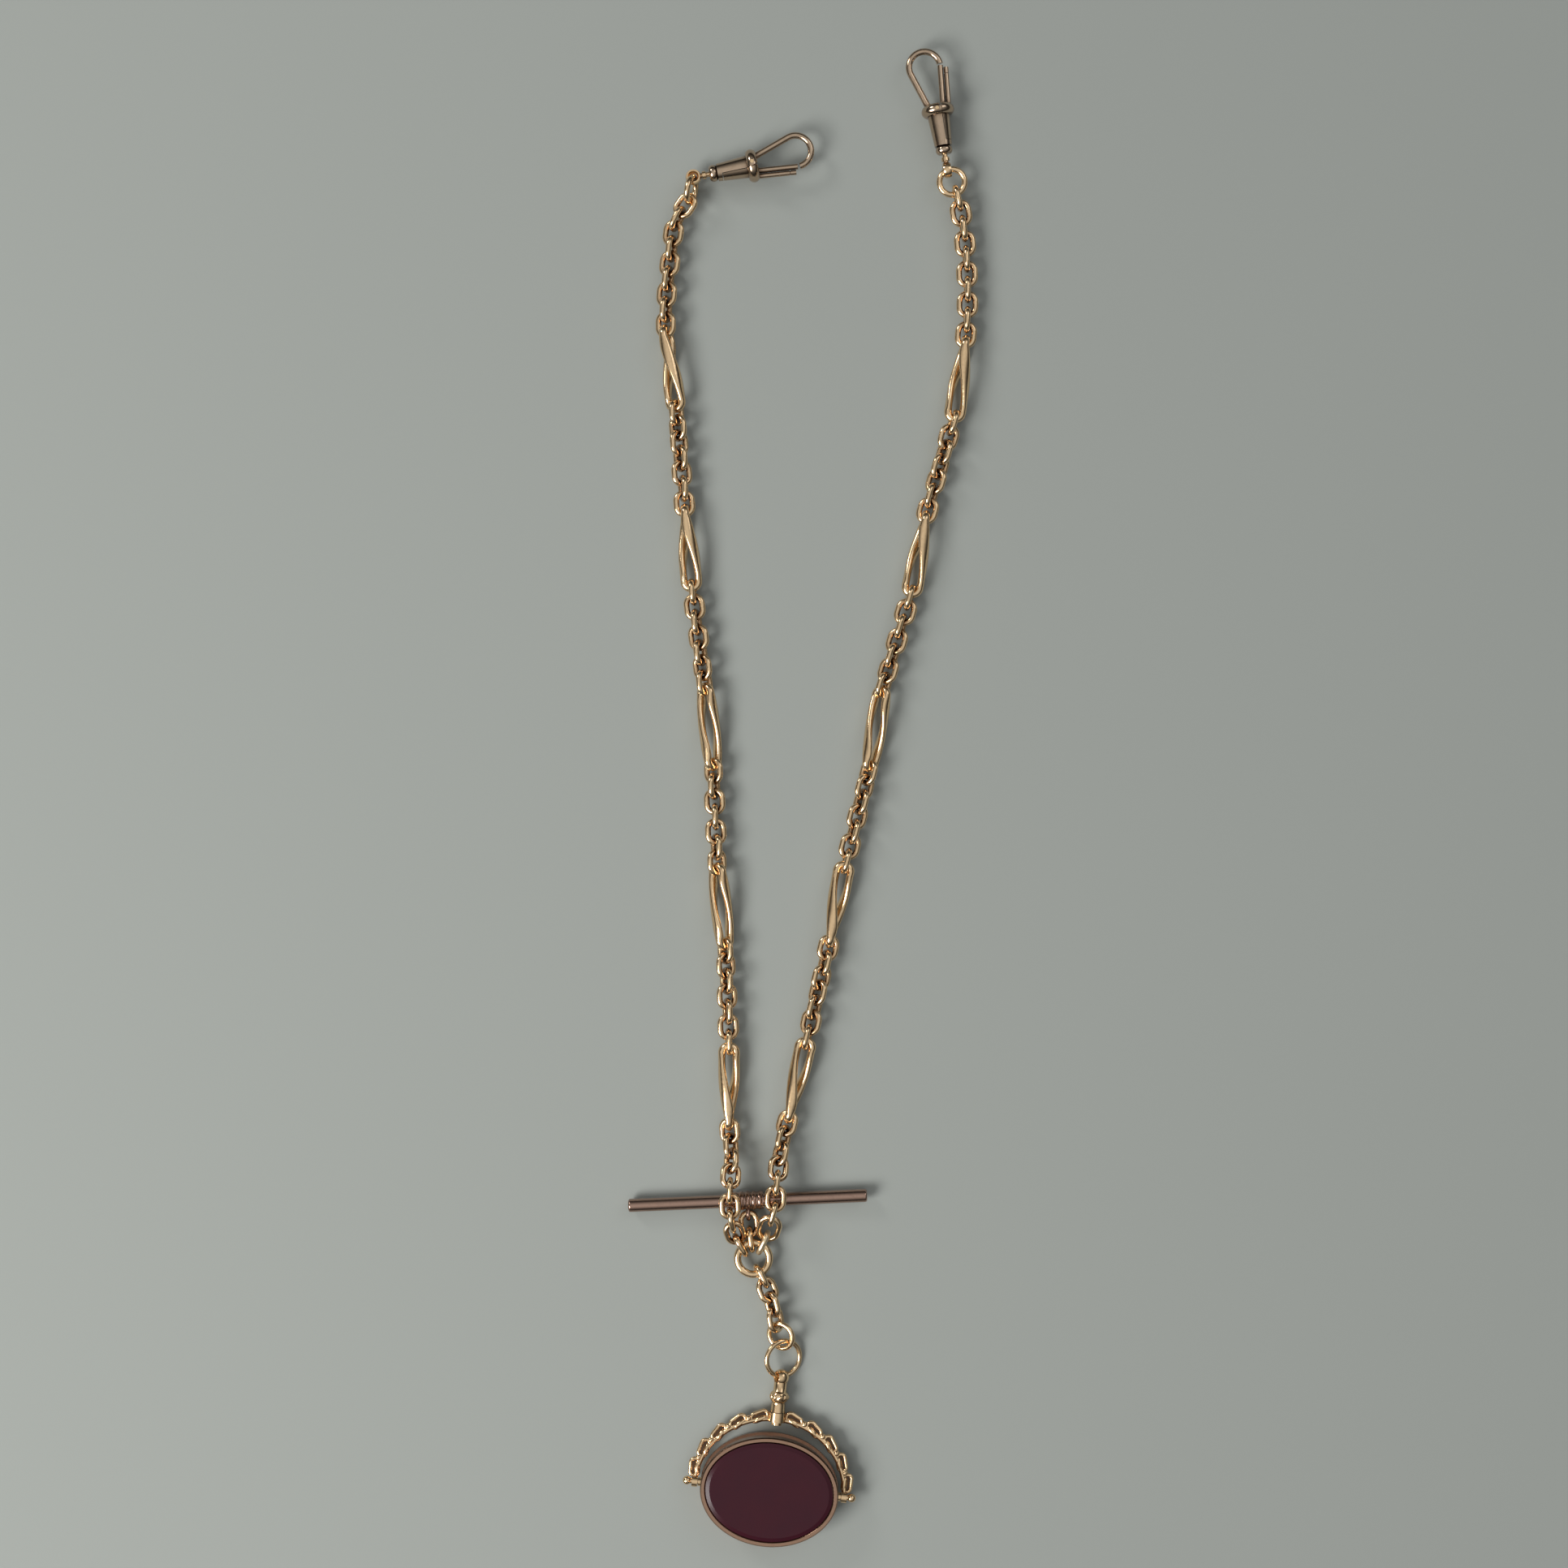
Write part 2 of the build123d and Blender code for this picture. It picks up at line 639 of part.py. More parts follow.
# Pivot pins: a shaft in the band, a shoulder beside it and a round head outside the knuckle
knuckle_inner = bail_half_width - knuckle_length / 2
knuckle_outer = bail_half_width + knuckle_length / 2
pin_root = fob_width / 2 - band_groove - band_wall + end_gap
shoulder_start = fob_width / 2 - band_groove + end_gap
ball_middle = knuckle_outer + end_gap + pivot_head_radius
ball_foot = ball_middle - sqrt(pivot_head_radius**2 - pivot_radius**2)
for name, side in (("left", -1), ("right", 1)):
    pin_plane = Plane(origin=fob_centre, x_dir=fob_across * side, z_dir=(0, 0, side))
    with BuildPart() as pin:
        with BuildSketch(pin_plane):
            with BuildLine():
                Polyline(
                    (pin_root, 0),
                    (pin_root, pivot_radius),
                    (shoulder_start, pivot_radius),
                    (shoulder_start, pivot_head_radius),
                    (knuckle_inner - end_gap, pivot_head_radius),
                    (knuckle_inner - end_gap, pivot_radius),
                    (ball_foot, pivot_radius),
                )
                ThreePointArc(
                    (ball_foot, pivot_radius),
                    (ball_middle, pivot_head_radius),
                    (ball_middle + pivot_head_radius, 0),
                )
                Line((ball_middle + pivot_head_radius, 0), (pin_root, 0))
            make_face()
        revolve(axis=fob_axis)
    save(pin.part, f"{name}_pivot_pin")

# Stations of the swivel clips, from the middle of the eye along the clip
tail_start = eye_hole_radius + eye_ring_height + neck_length
barrel_start = tail_start + tail_collar_length
gate_start = barrel_start + barrel_round_length
collar_start = barrel_start + barrel_length
collar_end = collar_start + collar_length
pin_x = collar_start + collar_length / 2
loop_x = pin_x + hook_reach
cut_end = collar_end + cut_overrun
cut_depth = collar_radius + cut_overrun
lip_radius = (barrel_front_radius + collar_radius) / 2 - gate_gap
relief_slope = sin(radians(gate_travel + gate_travel_margin)) / cos(radians(gate_travel + gate_travel_margin))
tail_edge = tail_collar_radius * tail_edge_share
nose_x = pin_x + gate_bar_length + nose_gap


def clip_shell(clip_plane):
    """The turned outer shape that the clip's body and gate share."""
    with BuildPart() as shell:
        with BuildSketch(clip_plane):
            with BuildLine():
                Line((tail_start, 0), (tail_start, tail_edge))
                ThreePointArc(
                    (tail_start, tail_edge),
                    ((tail_start + barrel_start) / 2, tail_collar_radius),
                    (barrel_start, tail_edge),
                )
                Polyline(
                    (barrel_start, tail_edge),
                    (barrel_start, barrel_back_radius),
                    (collar_start, barrel_front_radius),
                    (collar_start, lip_radius),
                )
                ThreePointArc(
                    (collar_start, lip_radius),
                    (pin_x, collar_radius),
                    (collar_end, lip_radius),
                )
                Polyline((collar_end, lip_radius), (collar_end, 0), (tail_start, 0))
            make_face()
        revolve(axis=Axis(clip_plane.origin, clip_plane.x_dir))
    return shell.part


def lay_clip(side, walk, clip_heading, eye_roll):
    """Makes one swivel clip on the last ring of a strand."""
    eye_shift = eye_hole_radius - clip_ring_wire / 2 - link_gap
    eye_middle = walk.far_wire(clip_ring_wire) + heading_vector(clip_heading) * eye_shift
    clip_plane = loop_plane(eye_middle, clip_heading, 0, 0)
    eye_plane = loop_plane(eye_middle, clip_heading, 0, eye_roll)
    shell = clip_shell(clip_plane)
    spot = clip_plane.from_local_coords
    pivots[f"{side}_swivel_hinge"] = walk.far_wire(clip_ring_wire)
    pivots[f"{side}_clip_body_swivel"] = eye_middle
    pivots[f"{side}_gate_hinge"] = spot((pin_x, gate_pin_offset, 0))

    # Swivel: a flared eye with a shank and a head that turns inside the barrel
    head_start = barrel_start + end_gap
    with BuildPart() as swivel:
        eye_outside = eye_hole_radius + eye_ring_height
        add(flared_eye(eye_plane, eye_hole_radius, eye_outside, eye_ring_width))
        shank_start = eye_hole_radius + eye_ring_height / 2
        add(rod(spot((shank_start, 0, 0)), spot((head_start, 0, 0)), swivel_pin_radius))
        add(rod(spot((head_start, 0, 0)), spot((head_start + swivel_head_length, 0, 0)), swivel_head_radius))
        shoulder_x = eye_hole_radius + eye_ring_height + eye_shoulder_gap
        shoulder_end = shoulder_x + eye_shoulder_length
        add(rod(spot((shoulder_x, 0, 0)), spot((shoulder_end, 0, 0)), eye_shoulder_radius))
    save(swivel.part, f"{side}_swivel")

    # Body: the barrel with its collar, cut away for the gate, and the hook
    split = gate_split - gate_gap / 2
    slot_top = gate_pin_offset + gate_lug_radius + gate_gap
    spring_room = gate_lug_width / 2 + gate_gap + gate_spring_room
    with BuildPart() as body:
        add(shell)
        with BuildSketch(clip_plane.offset(-cut_depth)):
            with BuildLine():
                Polyline(
                    (gate_start, -split),
                    (pin_x, -split),
                    (cut_end, (cut_end - pin_x) * relief_slope - split),
                    (cut_end, -cut_depth),
                    (gate_start, -cut_depth),
                    close=True,
                )
            make_face()
        extrude(amount=2 * cut_depth, mode=Mode.SUBTRACT)
        with Locations(clip_plane.location):
            with Locations(Location(((tail_start + barrel_start) / 2, 0, 0), (0, 90, 0))):
                Cylinder(swivel_pin_radius + swivel_fit, tail_collar_length, mode=Mode.SUBTRACT)
            cavity = swivel_head_length + 2 * end_gap
            with Locations(Location((barrel_start + cavity / 2, 0, 0), (0, 90, 0))):
                Cylinder(swivel_head_radius + swivel_fit, cavity, mode=Mode.SUBTRACT)
            slot_start = pin_x - gate_lug_radius - gate_gap
            with Locations((slot_start, -split, -gate_lug_width / 2 - gate_gap / 2)):
                Box(
                    collar_length,
                    split + slot_top,
                    gate_lug_width / 2 + gate_gap / 2 + spring_room,
                    align=(Align.MIN, Align.MIN, Align.MIN),
                    mode=Mode.SUBTRACT,
                )
            with Locations((pin_x, gate_pin_offset, 0)):
                Cylinder(gate_pin_radius + gate_pin_fit, 2 * cut_depth, mode=Mode.SUBTRACT)
        arm_x = collar_end - hook_wire_radius / 2
        reach = sqrt((loop_x - arm_x) ** 2 + (hook_offset - hook_arm_offset) ** 2)
        tangent = asin(hook_loop_radius / reach) + atan2(hook_offset - hook_arm_offset, loop_x - arm_x)
        touch = tangent + radians(90)
        nose = asin((nose_x - loop_x) / hook_loop_radius) - radians(90)
        around = (touch, (touch + nose) / 2, nose)
        arc = [
            (loop_x + hook_loop_radius * cos(a), hook_offset + hook_loop_radius * sin(a)) for a in around
        ]
        with BuildLine(clip_plane):
            Line((arm_x, hook_arm_offset), arc[0])
            ThreePointArc(*arc)
        arm_start = spot((arm_x, hook_arm_offset, 0))
        with BuildSketch(Plane(origin=arm_start, z_dir=spot((*arc[0], 0)) - arm_start)):
            Circle(hook_wire_radius)
        sweep()
    save(body.part, f"{side}_clip_body")

    # Gate: a lever cut from the barrel, a lug on the pin, and two bars side by side
    with BuildPart() as gate:
        add(shell)
        with BuildSketch(clip_plane.offset(-cut_depth)):
            with BuildLine():
                Polyline(
                    (gate_start + gate_gap, -gate_split - gate_gap / 2),
                    (cut_end, -gate_split - gate_gap / 2),
                    (cut_end, -cut_depth),
                    (gate_start + gate_gap, -cut_depth),
                    close=True,
                )
            make_face()
        extrude(amount=2 * cut_depth, mode=Mode.INTERSECT)
        with BuildSketch(clip_plane.offset(-gate_lug_width / 2)):
            with Locations((pin_x, gate_pin_offset)):
                Circle(gate_lug_radius)
            with Locations((pin_x, gate_pin_offset / 2 - gate_split)):
                Rectangle(2 * gate_lug_radius, gate_pin_offset + 2 * gate_split)
        extrude(amount=gate_lug_width)
        bar_root = Vector(collar_end - gate_gap, -gate_split - gate_bar_radius)
        bar_tip = Vector(pin_x + gate_bar_length, hook_offset - hook_loop_radius)
        add(rod(spot(bar_root), spot(bar_tip), gate_bar_radius))
        thumb_root = bar_root - Vector(0, thumb_spacing)
        thumb_way = bar_tip - bar_root
        stops = [0, thumb_groove_start, thumb_groove_start + thumb_groove_length, thumb_bar_length]
        radii = (thumb_bar_radius, thumb_groove_radius, thumb_bar_radius)
        for start, end, radius in zip(stops, stops[1:], radii):
            root = thumb_root + thumb_way * max(0, (pin_x + start - bar_root.X) / thumb_way.X)
            tip = thumb_root + thumb_way * ((pin_x + end - bar_root.X) / thumb_way.X)
            add(rod(spot(root), spot(tip), radius))
        with Locations(clip_plane.location * Location((pin_x, gate_pin_offset, 0))):
            Cylinder(gate_pin_radius + gate_pin_fit, gate_lug_width + cut_overrun, mode=Mode.SUBTRACT)
    save(gate.part, f"{side}_gate")

    # Pin and torsion spring of the gate
    pin_end = collar_radius * gate_pin_share
    low, high = spot((pin_x, gate_pin_offset, -pin_end)), spot((pin_x, gate_pin_offset, pin_end))
    save(rod(low, high, gate_pin_radius), f"{side}_gate_pin")
    spring_foot = gate_lug_width / 2 + gate_gap + gate_spring_wire / 2
    foot = spot((pin_x, gate_pin_offset, spring_foot))
    spring_plane = Plane(origin=foot, x_dir=clip_plane.x_dir, z_dir=clip_plane.z_dir)
    with BuildPart() as spring:
        with BuildLine(spring_plane):
            coil = Helix(gate_spring_pitch, gate_spring_pitch * gate_spring_turns, gate_spring_radius)
        with BuildSketch(Plane(origin=coil @ 0, z_dir=coil % 0)):
            Circle(gate_spring_wire / 2)
        sweep(is_frenet=True)
    save(spring.part, f"{side}_gate_spring")


lay_clip("left", left, left_clip_heading, left_eye_roll)
lay_clip("right", right, right_clip_heading, right_eye_roll)

for name, place in pivots.items():
    print(f"{name}: {place.X:.3f}, {place.Y:.3f}, {place.Z:.3f}")
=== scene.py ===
"""Double watch chain with a T-bar, two swivel clips and a swivel seal fob, laid out on a table."""
import json
import math

import bpy
from mathutils import Matrix, Vector


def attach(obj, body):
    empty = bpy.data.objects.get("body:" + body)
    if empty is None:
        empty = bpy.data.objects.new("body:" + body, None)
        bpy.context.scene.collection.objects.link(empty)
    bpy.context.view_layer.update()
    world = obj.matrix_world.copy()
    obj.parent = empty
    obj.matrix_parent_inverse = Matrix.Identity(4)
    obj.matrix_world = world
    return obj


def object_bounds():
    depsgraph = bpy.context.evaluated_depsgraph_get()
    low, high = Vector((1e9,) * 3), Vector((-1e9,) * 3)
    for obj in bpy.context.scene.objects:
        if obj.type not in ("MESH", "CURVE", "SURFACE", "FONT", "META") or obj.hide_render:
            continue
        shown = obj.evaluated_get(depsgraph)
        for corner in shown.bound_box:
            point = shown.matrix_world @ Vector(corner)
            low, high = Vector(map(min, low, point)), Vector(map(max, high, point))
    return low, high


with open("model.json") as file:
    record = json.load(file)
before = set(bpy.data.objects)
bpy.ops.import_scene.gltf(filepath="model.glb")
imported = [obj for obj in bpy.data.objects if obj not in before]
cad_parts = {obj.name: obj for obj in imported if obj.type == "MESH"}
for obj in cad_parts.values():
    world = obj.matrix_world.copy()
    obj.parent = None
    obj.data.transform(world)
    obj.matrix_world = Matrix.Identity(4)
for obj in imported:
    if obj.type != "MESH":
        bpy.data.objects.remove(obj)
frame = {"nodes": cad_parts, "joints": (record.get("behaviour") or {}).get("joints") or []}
cad_low, cad_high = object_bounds()
nodes = frame["nodes"]
scene = bpy.context.scene
scene.view_settings.view_transform = "Standard"

# Table, camera and lamps
# The chain lies on a plain grey-green sheet and is seen from straight above, in soft light that
# comes mostly from the lower left, as from a window.
table_size = 4.0
table_colour = (0.315, 0.338, 0.322, 1)
table_roughness = 0.85
table_drop = 0.00002


def plain_material(name, colour, roughness):
    """One matt finish of a single colour."""
    material = bpy.data.materials.new(name)
    material.use_nodes = True
    shader = material.node_tree.nodes["Principled BSDF"]
    shader.inputs["Base Color"].default_value = colour
    shader.inputs["Roughness"].default_value = roughness
    return material


bpy.ops.mesh.primitive_plane_add(size=table_size, location=(0, 0, cad_low.z - table_drop))
table = bpy.context.object
table.name = "table"
table.data.materials.append(plain_material("table sheet", table_colour, table_roughness))

chain_height = 0.00175
camera_height = 0.45
view_width = 0.2512
view_x = -0.0032
view_y = 0.0018
sensor_width = 36
nearest_seen = 0.01
camera_data = bpy.data.cameras.new("camera")
camera_data.sensor_width = sensor_width
camera_data.lens = sensor_width * (camera_height - chain_height) / view_width
camera_data.clip_start = nearest_seen
camera = bpy.data.objects.new("camera", camera_data)
camera.location = (view_x, view_y, camera_height)
scene.collection.objects.link(camera)
scene.camera = camera


def lamp(name, place, size, power, colour):
    """One square lamp that looks at the middle of the table."""
    data = bpy.data.lights.new(name, "AREA")
    data.shape = "SQUARE"
    data.size = size
    data.energy = power
    data.color = colour
    holder = bpy.data.objects.new(name, data)
    holder.location = place
    holder.rotation_euler = (-Vector(place)).to_track_quat("-Z", "Y").to_euler()
    scene.collection.objects.link(holder)


daylight = (1.0, 0.98, 0.95)
shade_light = (0.97, 0.98, 1.0)
lamp("window", place=(-0.58, -0.36, 0.6), size=0.42, power=7.4, colour=daylight)
lamp("room", place=(0.6, 0.5, 0.7), size=0.5, power=0.9, colour=shade_light)
lamp("far window", place=(-0.6, 0.55, 0.45), size=0.2, power=1.6, colour=daylight)

# Room round the table
# It is bright above and dim at the horizon, as under a pale ceiling. The polished metal mirrors it
# and takes most of its light and dark from it.
room_steps = ((0.0, 0.02), (0.3, 0.05), (0.55, 0.17), (0.8, 0.55), (0.95, 0.9), (1.0, 0.75))
room_blue_share = 0.98
room_strength = 0.72
world = bpy.data.worlds.new("room")
scene.world = world
world.use_nodes = True
room_tree = world.node_tree
background = room_tree.nodes["Background"]
room_place = room_tree.nodes.new("ShaderNodeTexCoord")
room_split = room_tree.nodes.new("ShaderNodeSeparateXYZ")
room_ramp = room_tree.nodes.new("ShaderNodeValToRGB")
room_tree.links.new(room_place.outputs["Generated"], room_split.inputs["Vector"])
room_tree.links.new(room_split.outputs["Z"], room_ramp.inputs["Fac"])
room_tree.links.new(room_ramp.outputs["Color"], background.inputs["Color"])
for i, (place, level) in enumerate(room_steps):
    stop = room_ramp.color_ramp.elements[0] if i == 0 else room_ramp.color_ramp.elements.new(place)
    stop.position = place
    stop.color = (level, level, level * room_blue_share, 1)
background.inputs["Strength"].default_value = room_strength

# Links and rings of the chain
# Round gold wire, bent to loops and soldered shut, with the long links twisted. They are worn bright on
# the outside and dark in the crooks, where they hang in each other, with tarnish and painted shade.
gold_light = (0.84, 0.60, 0.35, 1)
gold_deep = (0.52, 0.30, 0.145, 1)
# The darkest tone of each metal is tarnish and painted shade, reached only in its crooks.
gold_tarnish_and_shade = (0.07, 0.035, 0.018, 1)
gold_roughness = 0.19
film_weight = 0.4
film_roughness = 0.14
wear_size = 1800.0
wear_detail = 3
wear_share = 0.35
wear_and_shade_top = 1.17
# Reach and samples of the painted shade in the crooks.
crook_shade_reach = 0.0011
crook_shade_samples = 6
tarnish_and_shade_stop = 0.38
deep_stop = 0.72
worn_dull_share = 1.4
worn_bright_share = 0.7
wire_crease = 35
weld_reach = 0.000001


def metal(name, light, deep, tarnish_and_shade, roughness):
    """Polished metal under a thin film, bright where it is worn, with patina and painted shade
    darkening its crooks.
    """
    material = bpy.data.materials.new(name)
    material.use_nodes = True
    tree = material.node_tree
    shader = tree.nodes["Principled BSDF"]
    shader.inputs["Metallic"].default_value = 1.0
    shader.inputs["Coat Weight"].default_value = film_weight
    shader.inputs["Coat Roughness"].default_value = film_roughness
    place = tree.nodes.new("ShaderNodeTexCoord")
    wear = tree.nodes.new("ShaderNodeTexNoise")
    wear.inputs["Scale"].default_value = wear_size
    wear.inputs["Detail"].default_value = wear_detail
    tree.links.new(place.outputs["Object"], wear.inputs["Vector"])
    # Ambient occlusion of the piece's own mesh paints shade into its crooks, along with tarnish,
    # through the base colour.
    crook_shade = tree.nodes.new("ShaderNodeAmbientOcclusion")
    crook_shade.only_local = True
    crook_shade.samples = crook_shade_samples
    crook_shade.inputs["Distance"].default_value = crook_shade_reach
    # Wear and the painted shade of the crooks together set the tone.
    wear_and_shade = tree.nodes.new("ShaderNodeMath")
    wear_and_shade.operation = "MULTIPLY_ADD"
    wear_and_shade.inputs[1].default_value = wear_share
    tree.links.new(wear.outputs["Fac"], wear_and_shade.inputs[0])
    tree.links.new(crook_shade.outputs["AO"], wear_and_shade.inputs[2])
    spread = tree.nodes.new("ShaderNodeMapRange")
    spread.inputs["From Max"].default_value = wear_and_shade_top
    tree.links.new(wear_and_shade.outputs["Value"], spread.inputs["Value"])
    tone = tree.nodes.new("ShaderNodeValToRGB")
    darkest, middle = tone.color_ramp.elements
    darkest.position = tarnish_and_shade_stop
    darkest.color = tarnish_and_shade
    middle.position = deep_stop
    middle.color = deep
    tone.color_ramp.elements.new(1.0).color = light
    tree.links.new(spread.outputs["Result"], tone.inputs["Fac"])
    tree.links.new(tone.outputs["Color"], shader.inputs["Base Color"])
    gloss = tree.nodes.new("ShaderNodeMapRange")
    gloss.inputs["To Min"].default_value = roughness * worn_dull_share
    gloss.inputs["To Max"].default_value = roughness * worn_bright_share
    tree.links.new(wear.outputs["Fac"], gloss.inputs["Value"])
    tree.links.new(gloss.outputs["Result"], shader.inputs["Roughness"])
    return material


def smooth_by_angle(piece, crease):
    """Shades a piece smooth, and sharp where two faces meet at more than this angle."""
    tree = bpy.data.node_groups.new(f"{piece.name} creases", "GeometryNodeTree")
    tree.interface.new_socket("Geometry", in_out="INPUT", socket_type="NodeSocketGeometry")
    tree.interface.new_socket("Geometry", in_out="OUTPUT", socket_type="NodeSocketGeometry")
    start = tree.nodes.new("NodeGroupInput")
    end = tree.nodes.new("NodeGroupOutput")
    angle = tree.nodes.new("GeometryNodeInputMeshEdgeAngle")
    limit = tree.nodes.new("FunctionNodeCompare")
    limit.operation = "LESS_THAN"
    limit.inputs["B"].default_value = math.radians(crease)
    smooth = tree.nodes.new("GeometryNodeSetShadeSmooth")
    smooth.domain = "EDGE"
    tree.links.new(start.outputs["Geometry"], smooth.inputs["Geometry"])
    tree.links.new(angle.outputs["Unsigned Angle"], limit.inputs["A"])
    tree.links.new(limit.outputs["Result"], smooth.inputs["Shade Smooth"])
    tree.links.new(smooth.outputs["Geometry"], end.inputs["Geometry"])
    piece.modifiers.new("creases", "NODES").node_group = tree


def finish_node(name, material, crease=wire_crease):
    """Gives one piece of the frame its finish, with smooth faces between its creases."""
    piece = nodes[name]
    piece.data.materials.clear()
    piece.data.materials.append(material)
    weld = piece.modifiers.new("joined", "WELD")
    weld.merge_threshold = weld_reach
    for face in piece.data.polygons:
        face.use_smooth = True
    smooth_by_angle(piece, crease)


gold = metal("yellow gold", gold_light, gold_deep, gold_tarnish_and_shade, gold_roughness)
for name in nodes:
    if "links" in name or "link_" in name or name.endswith("_ring"):
        finish_node(name, gold)

# T-bar and its sleeve
# A plain round bar of redder gold with rounded ends, and a ridged sleeve round its middle that
# carries the eye.
rose_light = (0.40, 0.26, 0.20, 1)
rose_deep = (0.21, 0.125, 0.09, 1)
# Darkest rose tone: tarnish and painted shade in the crooks.
rose_tarnish_and_shade = (0.04, 0.022, 0.015, 1)
rose_roughness = 0.22
rose_gold = metal("rose gold", rose_light, rose_deep, rose_tarnish_and_shade, rose_roughness)
finish_node("t_bar", rose_gold)
finish_node("t_bar_sleeve", rose_gold)

# Swivel clips
# Cast and turned gold, darker than the chain. A wire hook grows out of each body, and a gate of two
# thin bars closes it, sprung on a pin. The body turns on the headed neck of a round eye.
clip_light = (0.52, 0.385, 0.27, 1)
clip_deep = (0.25, 0.16, 0.10, 1)
# Darkest clip tone: tarnish and painted shade in the crooks.
clip_tarnish_and_shade = (0.045, 0.028, 0.018, 1)
clip_roughness = 0.17
clip_crease = 50
clip_gold = metal("old gold", clip_light, clip_deep, clip_tarnish_and_shade, clip_roughness)
steel_light = (0.55, 0.55, 0.56, 1)
steel_deep = (0.3, 0.3, 0.31, 1)
# Darkest steel tone: tarnish and painted shade in the crooks.
steel_tarnish_and_shade = (0.06, 0.055, 0.05, 1)
steel_roughness = 0.35
steel = metal("spring steel", steel_light, steel_deep, steel_tarnish_and_shade, steel_roughness)
for side in ("left", "right"):
    finish_node(f"{side}_clip_body", clip_gold, clip_crease)
    finish_node(f"{side}_gate", clip_gold, clip_crease)
    finish_node(f"{side}_gate_pin", gold)
    finish_node(f"{side}_swivel", gold)
    finish_node(f"{side}_gate_spring", steel)

# Finial and bail
# The bail is cast in yellow gold as an arch of small scrolls. The finial, with its beaded collar,
# goes through the boss of the bail, is riveted below it and turns there.
cast_crease = 50
finish_node("finial", gold, cast_crease)
finish_node("bail", gold, cast_crease)

# Dressing of the bail: webs, lips and pearls
# Each scroll of the cast arch is closed by a thin web, a near-black floor whose colour is painted shade
# for the hollow of the scroll, with some tarnish, and has a thick polished lip on its inner side. A
# small pearl of gold is soldered in each gap between scrolls.
arch_half_width = 0.012
arch_rise = 0.0111
scrolls_a_side = 5
scroll_first = 13
scroll_step = 16.5
scroll_slant = 14
web_half = (0.0014, 0.0007, 0.00012)
web_shift = 0.0005
lip_half = (0.0012, 0.0005, 0.0005)
lip_shift = 0.00005
pearl_radius = 0.00052
pearl_shift = 0.00045
round_steps = 3
# The webs' colours are painted shade for the scrolls' hollows, with some tarnish.
shade_web_light = (0.07, 0.04, 0.022, 1)
shade_web_deep = (0.04, 0.022, 0.012, 1)
shade_web_darkest = (0.012, 0.007, 0.004, 1)
web_roughness = 0.5
shade_web_metal = metal("painted shade web", shade_web_light, shade_web_deep, shade_web_darkest, web_roughness)
joints = {joint["name"]: joint for joint in frame["joints"]}
seal_middle = Vector(joints["seal_spin"]["pos_m"])
seal_across = Vector(joints["seal_spin"]["axis"]).normalized()
arch_up = Vector(joints["bail_swivel"]["axis"]).normalized()
arch_upright = Matrix((seal_across, arch_up, seal_across.cross(arch_up))).transposed().to_4x4()


def math_node(tree, operation, first, second=0):
    """One sum in a node tree, of two sockets or numbers."""
    node = tree.nodes.new("ShaderNodeMath")
    node.operation = operation
    for socket, value in zip(node.inputs, (first, second)):
        if isinstance(value, (int, float)):
            socket.default_value = value
        else:
            tree.links.new(value, socket)
    return node.outputs["Value"]


def arch_spots(tree, size):
    """Points along both sides of the arch, left side first, and each one's turn in the arch's plane."""
    points = tree.nodes.new("GeometryNodePoints")
    tree.links.new(math_node(tree, "MULTIPLY", size["Count a side"], 2), points.inputs["Count"])
    number = tree.nodes.new("GeometryNodeInputIndex").outputs["Index"]
    last_left = math_node(tree, "SUBTRACT", size["Count a side"], 0.5)
    on_right = math_node(tree, "GREATER_THAN", number, last_left)
    hand = math_node(tree, "SUBTRACT", math_node(tree, "MULTIPLY", on_right, 2), 1)
    in_side = math_node(tree, "MODULO", number, size["Count a side"])
    from_top = math_node(tree, "ADD", size["First"], math_node(tree, "MULTIPLY", in_side, size["Step"]))
    turn = math_node(tree, "MULTIPLY", from_top, hand)
    sine = math_node(tree, "SINE", turn)
    cosine = math_node(tree, "COSINE", turn)
    spot = tree.nodes.new("ShaderNodeCombineXYZ")
    tree.links.new(math_node(tree, "MULTIPLY", sine, size["Half width"]), spot.inputs["X"])
    tree.links.new(math_node(tree, "MULTIPLY", cosine, size["Rise"]), spot.inputs["Y"])
    tree.links.new(spot.outputs["Vector"], points.inputs["Position"])
    fall = math_node(tree, "MULTIPLY", math_node(tree, "MULTIPLY", sine, size["Rise"]), -1)
    run = math_node(tree, "MULTIPLY", cosine, size["Half width"])
    slope = math_node(tree, "ARCTAN2", fall, run)
    steeper = math_node(tree, "MULTIPLY", hand, size["Slant"])
    lean = tree.nodes.new("ShaderNodeCombineXYZ")
    tree.links.new(math_node(tree, "SUBTRACT", slope, steeper), lean.inputs["Z"])
    return points.outputs["Points"], lean.outputs["Vector"]


def plain_mesh(name, tree, sizes):
    """Runs a tree on an empty object, and returns that object with the result as its mesh."""
    piece = bpy.data.objects.new(name, bpy.data.meshes.new(name))
    scene.collection.objects.link(piece)
    modifier = piece.modifiers.new("maker", "NODES")
    modifier.node_group = tree
    for item in tree.interface.items_tree:
        if item.in_out == "INPUT":
            modifier[item.identifier] = sizes[item.name]
    bpy.context.view_layer.update()
    mesh = bpy.data.meshes.new_from_object(piece.evaluated_get(bpy.context.evaluated_depsgraph_get()))
    piece.modifiers.remove(modifier)
    piece.data = mesh
    return piece


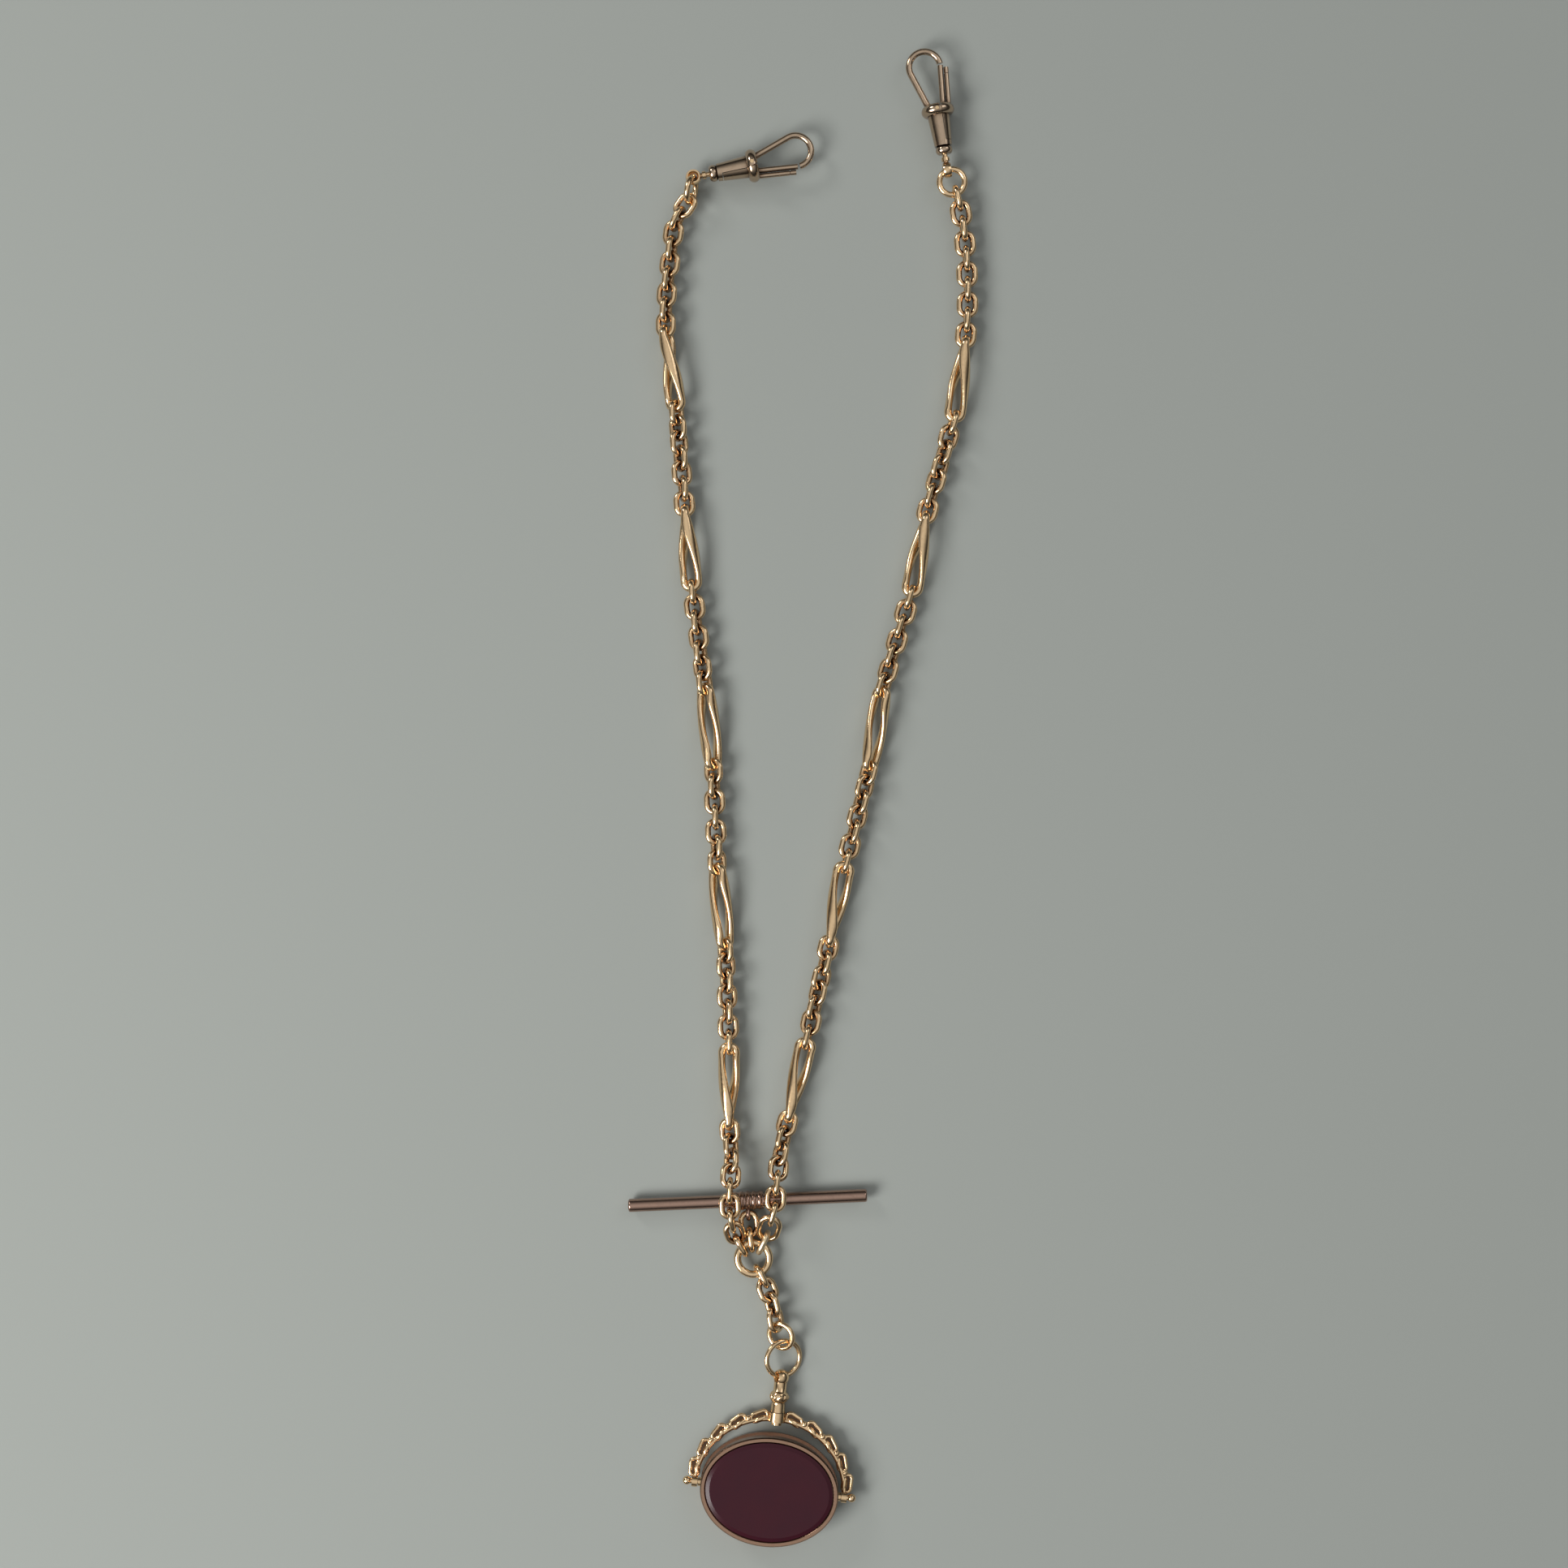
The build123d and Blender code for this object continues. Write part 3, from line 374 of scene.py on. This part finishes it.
def along_arch(name, count, first, shift, slant, half, material):
    """Sets small rounded pieces along both sides of the bail's arch, as one mesh on the bail."""
    sizes = {
        "Count a side": count,
        "Half width": arch_half_width + shift,
        "Rise": arch_rise + shift,
        "First": math.radians(first),
        "Step": math.radians(scroll_step),
        "Slant": math.radians(slant),
        "Half length": half[0],
        "Half breadth": half[1],
        "Half height": half[2],
    }
    tree = bpy.data.node_groups.new(name, "GeometryNodeTree")
    tree.interface.new_socket("Geometry", in_out="OUTPUT", socket_type="NodeSocketGeometry")
    for label, value in sizes.items():
        kind = "NodeSocketInt" if isinstance(value, int) else "NodeSocketFloat"
        tree.interface.new_socket(label, in_out="INPUT", socket_type=kind).default_value = value
    size = tree.nodes.new("NodeGroupInput").outputs
    spots, turned = arch_spots(tree, size)
    ball = tree.nodes.new("GeometryNodeMeshIcoSphere")
    ball.inputs["Radius"].default_value = 1.0
    ball.inputs["Subdivisions"].default_value = round_steps
    shape = tree.nodes.new("ShaderNodeCombineXYZ")
    for axis, label in zip("XYZ", ("Half length", "Half breadth", "Half height")):
        tree.links.new(size[label], shape.inputs[axis])
    strung = tree.nodes.new("GeometryNodeInstanceOnPoints")
    tree.links.new(spots, strung.inputs["Points"])
    tree.links.new(ball.outputs["Mesh"], strung.inputs["Instance"])
    tree.links.new(turned, strung.inputs["Rotation"])
    tree.links.new(shape.outputs["Vector"], strung.inputs["Scale"])
    real = tree.nodes.new("GeometryNodeRealizeInstances")
    tree.links.new(strung.outputs["Instances"], real.inputs["Geometry"])
    finished = tree.nodes.new("GeometryNodeSetMaterial")
    finished.inputs["Material"].default_value = material
    tree.links.new(real.outputs["Geometry"], finished.inputs["Geometry"])
    end = tree.nodes.new("NodeGroupOutput")
    tree.links.new(finished.outputs["Geometry"], end.inputs["Geometry"])
    piece = plain_mesh(name, tree, sizes)
    piece.data.transform(Matrix.Translation(seal_middle) @ arch_upright)
    piece.data.shade_smooth()
    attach(piece, "bail")


# The webs are painted shade in the scrolls' hollows.
along_arch("bail_shade_webs", scrolls_a_side, scroll_first, web_shift, scroll_slant, web_half, shade_web_metal)
along_arch("bail_lips", scrolls_a_side, scroll_first, lip_shift, scroll_slant, lip_half, gold)
pearl_half = (pearl_radius, pearl_radius, pearl_radius)
first_pearl = scroll_first + scroll_step / 2
along_arch("bail_pearls", scrolls_a_side - 1, first_pearl, pearl_shift, 0, pearl_half, gold)

# Seal: band, rims, pins and bedding
# A band of copper-red gold between two thin rims that hold the stones in. It turns on two pins
# with round heads, which go through the bail's feet. The bedding behind the stones is a dull paste.
copper_light = (0.37, 0.225, 0.15, 1)
copper_deep = (0.21, 0.115, 0.07, 1)
rim_crease = 30
# The copper-red gold takes the rose gold's darkest tone, tarnish and painted shade, in its crooks.
copper_gold = metal("copper-red gold", copper_light, copper_deep, rose_tarnish_and_shade, rose_roughness)
for name in ("seal_band", "front_rim", "back_rim"):
    finish_node(name, copper_gold, rim_crease)
for name in ("left_pivot_pin", "right_pivot_pin"):
    finish_node(name, gold)
bedding_colour = (0.3, 0.22, 0.12, 1)
bedding_roughness = 0.8
finish_node("setting_bed", plain_material("bedding", bedding_colour, bedding_roughness))

# Stones
# Two flat ovals of dark wine-red stone with bevelled, polished edges, one on each face of the seal.
# Each lies on the bedding and is held down by its rim.
stone_heart = (0.028, 0.0048, 0.0115, 1)
stone_edge = (0.047, 0.0045, 0.0105, 1)
stone_roughness = 0.26
stone_bending = 1.33
cloud_size = 160
cloud_detail = 5
stone_crease = 12
stone = bpy.data.materials.new("wine-red stone")
stone.use_nodes = True
stone_tree = stone.node_tree
stone_shader = stone_tree.nodes["Principled BSDF"]
stone_shader.inputs["Roughness"].default_value = stone_roughness
stone_shader.inputs["IOR"].default_value = stone_bending
stone_place = stone_tree.nodes.new("ShaderNodeTexCoord")
stone_cloud = stone_tree.nodes.new("ShaderNodeTexNoise")
stone_cloud.inputs["Scale"].default_value = cloud_size
stone_cloud.inputs["Detail"].default_value = cloud_detail
stone_mix = stone_tree.nodes.new("ShaderNodeMix")
stone_mix.data_type = "RGBA"
stone_mix.inputs["A"].default_value = stone_heart
stone_mix.inputs["B"].default_value = stone_edge
stone_tree.links.new(stone_place.outputs["Object"], stone_cloud.inputs["Vector"])
stone_tree.links.new(stone_cloud.outputs["Fac"], stone_mix.inputs["Factor"])
stone_tree.links.new(stone_mix.outputs["Result"], stone_shader.inputs["Base Color"])
finish_node("front_stone", stone, stone_crease)
finish_node("back_stone", stone, stone_crease)
